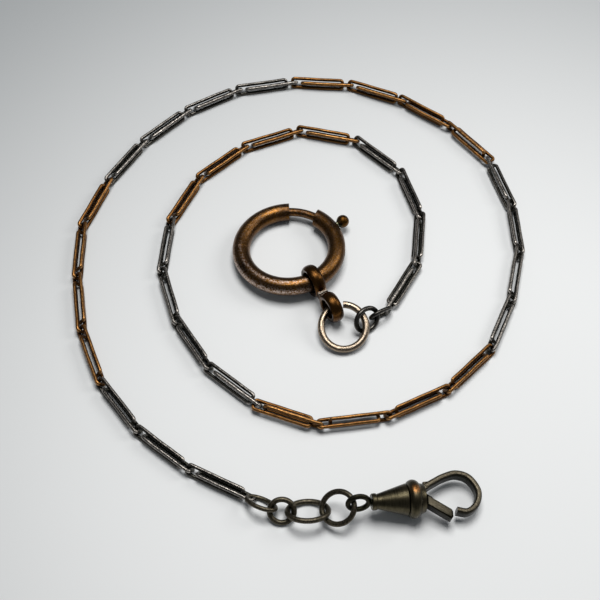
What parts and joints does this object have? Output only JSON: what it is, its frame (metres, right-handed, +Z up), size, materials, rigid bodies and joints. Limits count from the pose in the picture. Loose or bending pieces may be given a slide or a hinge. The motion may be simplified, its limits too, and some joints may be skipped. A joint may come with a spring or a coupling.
{
  "type": "pocket watch chain",
  "caption": "Watch chain of long links in two colours, with a bolt ring at one end to hold a watch and a sprung swivel clip at the other to hold on to clothing.",
  "frame": {"origin": "centre of the footprint of the chain as it lies, on the table", "axes": "+Z up from the table; +Y from the clip towards the far side of the spiral; +X to the right, with the clip at the near side"},
  "size_m": [0.0696, 0.0817, 0.0052],
  "materials": {
    "gunmetal": "oxidised, worn satin",
    "copper_bronze": "worn copper-coloured gilding, satin",
    "dark_bronze": "dark, polished, worn on the outside",
    "nickel": "bright, polished",
    "olive_bronze": "dark, satin",
    "spring_steel": "satin"
  },
  "bodies": {
    "root": {"bolt_ring_tube": "dark_bronze", "bolt_spring": "spring_steel"},
    "bolt": {"ring_bolt": "dark_bronze", "bolt_stud": "dark_bronze"},
    "shackle": {"figure_eight_shackle": "dark_bronze"},
    "jump_ring": {"jump_ring": "nickel"},
    "connector_1": {"connector_link_1": "gunmetal"},
    "connector_2": {"connector_link_2": "gunmetal"},
    "link_01": {"link_01": "gunmetal"},
    "link_02": {"link_02": "gunmetal"},
    "link_03": {"link_03": "gunmetal"},
    "link_04": {"link_04": "gunmetal"},
    "link_05": {"link_05": "copper_bronze"},
    "link_06": {"link_06": "copper_bronze"},
    "link_07": {"link_07": "copper_bronze"},
    "link_08": {"link_08": "copper_bronze"},
    "link_09": {"link_09": "gunmetal"},
    "link_10": {"link_10": "gunmetal"},
    "link_11": {"link_11": "gunmetal"},
    "link_12": {"link_12": "gunmetal"},
    "link_13": {"link_13": "copper_bronze"},
    "link_14": {"link_14": "copper_bronze"},
    "link_15": {"link_15": "copper_bronze"},
    "link_16": {"link_16": "copper_bronze"},
    "link_17": {"link_17": "gunmetal"},
    "link_18": {"link_18": "gunmetal"},
    "link_19": {"link_19": "gunmetal"},
    "link_20": {"link_20": "gunmetal"},
    "link_21": {"link_21": "copper_bronze"},
    "link_22": {"link_22": "copper_bronze"},
    "link_23": {"link_23": "copper_bronze"},
    "link_24": {"link_24": "copper_bronze"},
    "link_25": {"link_25": "gunmetal"},
    "link_26": {"link_26": "gunmetal"},
    "link_27": {"link_27": "gunmetal"},
    "link_28": {"link_28": "gunmetal"},
    "link_29": {"link_29": "copper_bronze"},
    "link_30": {"link_30": "copper_bronze"},
    "link_31": {"link_31": "copper_bronze"},
    "link_32": {"link_32": "copper_bronze"},
    "link_33": {"link_33": "gunmetal"},
    "link_34": {"link_34": "gunmetal"},
    "link_35": {"link_35": "gunmetal"},
    "end_ring_1": {"end_ring_1": "olive_bronze"},
    "end_ring_2": {"end_ring_2": "olive_bronze"},
    "end_ring_3": {"end_ring_3": "olive_bronze"},
    "end_ring_4": {"end_ring_4": "olive_bronze"},
    "swivel_eye": {"swivel_eye": "olive_bronze"},
    "clip": {"clip_barrel": "olive_bronze", "clip_hook": "olive_bronze", "gate_pin": "spring_steel", "gate_spring": "spring_steel"},
    "gate": {"clip_gate": "olive_bronze"}
  },
  "joints": [
    {"name": "bolt_slide_round", "type": "hinge", "parent": "root", "child": "bolt", "pos_m": [-0.0016, 0.00438, 0.00186], "axis": [-0.034, 0.0589, 0.9977], "range_deg": [-40, 0], "stiffness_Nm_per_rad": 0.002, "springref_deg": 11.46, "deforming": ["bolt_spring"]},
    {"name": "gate_hinge", "type": "hinge", "parent": "clip", "child": "gate", "pos_m": [0.01619, -0.03702, 0.00249], "axis": [0.1124, 0.0138, 0.9936], "range_deg": [0, 22], "stiffness_Nm_per_rad": 0.001, "springref_deg": -11.46, "deforming": ["gate_spring"]},
    {"name": "clip_swivel", "type": "hinge", "parent": "swivel_eye", "child": "clip", "pos_m": [0.00955, -0.03794, 0.00325], "axis": [0.9862, 0.1211, -0.1132], "continuous": true},
    {"name": "shackle_hinge", "type": "hinge", "parent": "root", "child": "shackle", "pos_m": [0.00208, -0.00198, 0.00236], "axis": [0.866, 0.5, 0], "range_deg": [-60, 60]},
    {"name": "jump_ring_hinge", "type": "hinge", "parent": "shackle", "child": "jump_ring", "pos_m": [0.00443, -0.00794, 0.00166], "axis": [-0.8641, -0.5033, 0], "range_deg": [-42.5, 45]},
    {"name": "connector_1_hinge", "type": "hinge", "parent": "jump_ring", "child": "connector_1", "pos_m": [0.00937, -0.0093, 0.00156], "axis": [-0.3096, 0.9509, 0], "range_deg": [-22.5, 45]},
    {"name": "connector_2_hinge", "type": "hinge", "parent": "connector_1", "child": "connector_2", "pos_m": [0.01133, -0.00773, 0.00161], "axis": [0.5446, -0.8387, 0], "range_deg": [-40, 35]},
    {"name": "swivel_eye_hinge", "type": "hinge", "parent": "end_ring_4", "child": "swivel_eye", "pos_m": [0.00692, -0.0382, 0.00345], "axis": [0.1294, -0.9916, 0], "range_deg": [-20, 25]},
    {"name": "end_ring_4_hinge", "type": "hinge", "parent": "end_ring_3", "child": "end_ring_4", "pos_m": [0.0034, -0.03845, 0.00157], "axis": [-0.025, 0.9997, 0], "range_deg": [-30, 40]},
    {"name": "end_ring_3_hinge", "type": "hinge", "parent": "end_ring_2", "child": "end_ring_3", "pos_m": [-0.00114, -0.03817, 0.00133], "axis": [-0.0402, -0.9992, 0], "range_deg": [-40, 37.5]},
    {"name": "end_ring_2_hinge", "type": "hinge", "parent": "end_ring_1", "child": "end_ring_2", "pos_m": [-0.00357, -0.03817, 0.00157], "axis": [0.3645, 0.9312, 0], "range_deg": [-30, 35]},
    {"name": "end_ring_1_hinge", "type": "hinge", "parent": "link_35", "child": "end_ring_1", "pos_m": [-0.00629, -0.03613, 0.00082], "axis": [-0.4788, -0.8779, 0], "range_deg": [-32.5, 30]},
    {"name": "link_01_hinge", "type": "hinge", "parent": "connector_2", "child": "link_01", "pos_m": [0.01324, -0.00642, 0.00098], "axis": [-0.8213, 0.5705, 0], "range_deg": [-17.5, 40]},
    {"name": "link_02_hinge", "type": "hinge", "parent": "link_01", "child": "link_02", "pos_m": [0.01803, 0.00195, 0.00098], "axis": [-0.9507, 0.3103, 0], "range_deg": [-25, 25]},
    {"name": "link_03_hinge", "type": "hinge", "parent": "link_02", "child": "link_03", "pos_m": [0.01914, 0.01107, 0.00089], "axis": [0.9956, 0.0935, 0], "range_deg": [-7.5, 35]},
    {"name": "link_04_hinge", "type": "hinge", "parent": "link_03", "child": "link_04", "pos_m": [0.01631, 0.02028, 0.00077], "axis": [-0.8523, -0.5231, 0], "range_deg": [-32.5, 35]},
    {"name": "link_05_hinge", "type": "hinge", "parent": "link_04", "child": "link_05", "pos_m": [0.00938, 0.02698, 0.00077], "axis": [0.478, 0.8784, 0], "range_deg": [-35, 30]},
    {"name": "link_06_hinge", "type": "hinge", "parent": "link_05", "child": "link_06", "pos_m": [0, 0.02916, 0.00077], "axis": [0.0747, -0.9972, 0], "range_deg": [-27.5, 30]},
    {"name": "link_07_hinge", "type": "hinge", "parent": "link_06", "child": "link_07", "pos_m": [-0.00895, 0.0256, 0.00077], "axis": [-0.5306, 0.8476, 0], "range_deg": [-40, 40]},
    {"name": "link_08_hinge", "type": "hinge", "parent": "link_07", "child": "link_08", "pos_m": [-0.01605, 0.01911, 0.00077], "axis": [0.8033, -0.5956, 0], "range_deg": [-40, 40]},
    {"name": "link_09_hinge", "type": "hinge", "parent": "link_08", "child": "link_09", "pos_m": [-0.02021, 0.01042, 0.00077], "axis": [-0.9654, 0.2608, 0], "range_deg": [-40, 40]},
    {"name": "link_10_hinge", "type": "hinge", "parent": "link_09", "child": "link_10", "pos_m": [-0.02099, 0.00083, 0.00077], "axis": [0.9941, 0.1087, 0], "range_deg": [-40, 40]},
    {"name": "link_11_hinge", "type": "hinge", "parent": "link_10", "child": "link_11", "pos_m": [-0.01835, -0.00797, 0.00077], "axis": [-0.9063, -0.4226, 0], "range_deg": [-17.5, 35]},
    {"name": "link_12_hinge", "type": "hinge", "parent": "link_11", "child": "link_12", "pos_m": [-0.01312, -0.01607, 0.0009], "axis": [0.7477, 0.6641, 0], "range_deg": [-40, 37.5]},
    {"name": "link_13_hinge", "type": "hinge", "parent": "link_12", "child": "link_13", "pos_m": [-0.00608, -0.022, 0.00098], "axis": [-0.4973, -0.8676, 0], "range_deg": [-10, 22.5]},
    {"name": "link_14_hinge", "type": "hinge", "parent": "link_13", "child": "link_14", "pos_m": [0.00299, -0.02531, 0.00098], "axis": [0.1085, 0.9941, 0], "range_deg": [-27.5, 35]},
    {"name": "link_15_hinge", "type": "hinge", "parent": "link_14", "child": "link_15", "pos_m": [0.01256, -0.02403, 0.00095], "axis": [0.2903, -0.9569, 0], "range_deg": [-40, 37.5]},
    {"name": "link_16_hinge", "type": "hinge", "parent": "link_15", "child": "link_16", "pos_m": [0.0212, -0.01979, 0.00085], "axis": [-0.582, 0.8132, 0], "range_deg": [-40, 40]},
    {"name": "link_17_hinge", "type": "hinge", "parent": "link_16", "child": "link_17", "pos_m": [0.02804, -0.01295, 0.00077], "axis": [0.8231, -0.5679, 0], "range_deg": [-35, 40]},
    {"name": "link_18_hinge", "type": "hinge", "parent": "link_17", "child": "link_18", "pos_m": [0.03185, -0.0046, 0.00077], "axis": [-0.9469, 0.3216, 0], "range_deg": [-20, 35]},
    {"name": "link_19_hinge", "type": "hinge", "parent": "link_18", "child": "link_19", "pos_m": [0.03401, 0.00432, 0.00077], "axis": [0.9954, -0.0955, 0], "range_deg": [-37.5, 15]},
    {"name": "link_20_hinge", "type": "hinge", "parent": "link_19", "child": "link_20", "pos_m": [0.0337, 0.01347, 0.00091], "axis": [-0.9872, -0.1597, 0], "range_deg": [-12.5, 27.5]},
    {"name": "link_21_hinge", "type": "hinge", "parent": "link_20", "child": "link_21", "pos_m": [0.03103, 0.02275, 0.00098], "axis": [0.8868, 0.4621, 0], "range_deg": [-27.5, 30]},
    {"name": "link_22_hinge", "type": "hinge", "parent": "link_21", "child": "link_22", "pos_m": [0.02496, 0.03025, 0.00098], "axis": [-0.6909, -0.7229, 0], "range_deg": [-35, 30]},
    {"name": "link_23_hinge", "type": "hinge", "parent": "link_22", "child": "link_23", "pos_m": [0.01761, 0.03572, 0.0009], "axis": [0.4937, 0.8696, 0], "range_deg": [-10, 22.5]},
    {"name": "link_24_hinge", "type": "hinge", "parent": "link_23", "child": "link_24", "pos_m": [0.00872, 0.03946, 0.00077], "axis": [-0.2299, -0.9732, 0], "range_deg": [-37.5, 40]},
    {"name": "link_25_hinge", "type": "hinge", "parent": "link_24", "child": "link_25", "pos_m": [-0.00089, 0.04009, 0.00077], "axis": [-0.0608, 0.9982, 0], "range_deg": [-40, 40]},
    {"name": "link_26_hinge", "type": "hinge", "parent": "link_25", "child": "link_26", "pos_m": [-0.01035, 0.03829, 0.00077], "axis": [0.3454, -0.9385, 0], "range_deg": [-40, 40]},
    {"name": "link_27_hinge", "type": "hinge", "parent": "link_26", "child": "link_27", "pos_m": [-0.01875, 0.03351, 0.00077], "axis": [-0.6033, 0.7975, 0], "range_deg": [-40, 40]},
    {"name": "link_28_hinge", "type": "hinge", "parent": "link_27", "child": "link_28", "pos_m": [-0.02562, 0.02675, 0.00077], "axis": [0.7813, -0.6242, 0], "range_deg": [-40, 40]},
    {"name": "link_29_hinge", "type": "hinge", "parent": "link_28", "child": "link_29", "pos_m": [-0.0307, 0.01856, 0.00077], "axis": [-0.899, 0.438, 0], "range_deg": [-40, 40]},
    {"name": "link_30_hinge", "type": "hinge", "parent": "link_29", "child": "link_30", "pos_m": [-0.03401, 0.00953, 0.00077], "axis": [0.9861, -0.1663, 0], "range_deg": [-40, 40]},
    {"name": "link_31_hinge", "type": "hinge", "parent": "link_30", "child": "link_31", "pos_m": [-0.03385, -0.00013, 0.00077], "axis": [-0.9955, -0.0942, 0], "range_deg": [-40, 40]},
    {"name": "link_32_hinge", "type": "hinge", "parent": "link_31", "child": "link_32", "pos_m": [-0.0322, -0.00961, 0.00077], "axis": [0.9609, 0.2769, 0], "range_deg": [-40, 40]},
    {"name": "link_33_hinge", "type": "hinge", "parent": "link_32", "child": "link_33", "pos_m": [-0.02855, -0.01852, 0.00077], "axis": [-0.8656, -0.5007, 0], "range_deg": [-40, 40]},
    {"name": "link_34_hinge", "type": "hinge", "parent": "link_33", "child": "link_34", "pos_m": [-0.02264, -0.02614, 0.00077], "axis": [0.7094, 0.7049, 0], "range_deg": [-40, 40]},
    {"name": "link_35_hinge", "type": "hinge", "parent": "link_34", "child": "link_35", "pos_m": [-0.01507, -0.03209, 0.00077], "axis": [-0.5333, -0.8459, 0], "range_deg": [-40, 40]}
  ]
}
